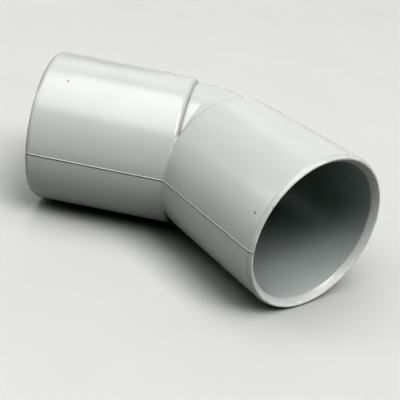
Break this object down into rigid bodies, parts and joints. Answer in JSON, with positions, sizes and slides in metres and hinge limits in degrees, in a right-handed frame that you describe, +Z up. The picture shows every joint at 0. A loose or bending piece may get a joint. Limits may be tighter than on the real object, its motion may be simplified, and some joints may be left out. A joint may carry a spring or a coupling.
{
  "type": "waste pipe elbow",
  "caption": "Obtuse waste pipe elbow with plain push-fit sockets, flared mouths, internal pipe stops and a slimmer bent neck, moulded in light grey plastic.",
  "frame": {"origin": "under the middle of the elbow's bounding box, on the level surface that the elbow lies on", "axes": "+Z up, square to the plane of the bend; one mouth faces -X and the other +X, both turned forwards to -Y by half of the bend; the heel is at +Y"},
  "size_m": [0.0766, 0.0422, 0.032],
  "materials": {
    "grey_plastic": "satin, as moulded"
  },
  "bodies": {
    "root": {"elbow": "grey_plastic"}
  },
  "joints": []
}
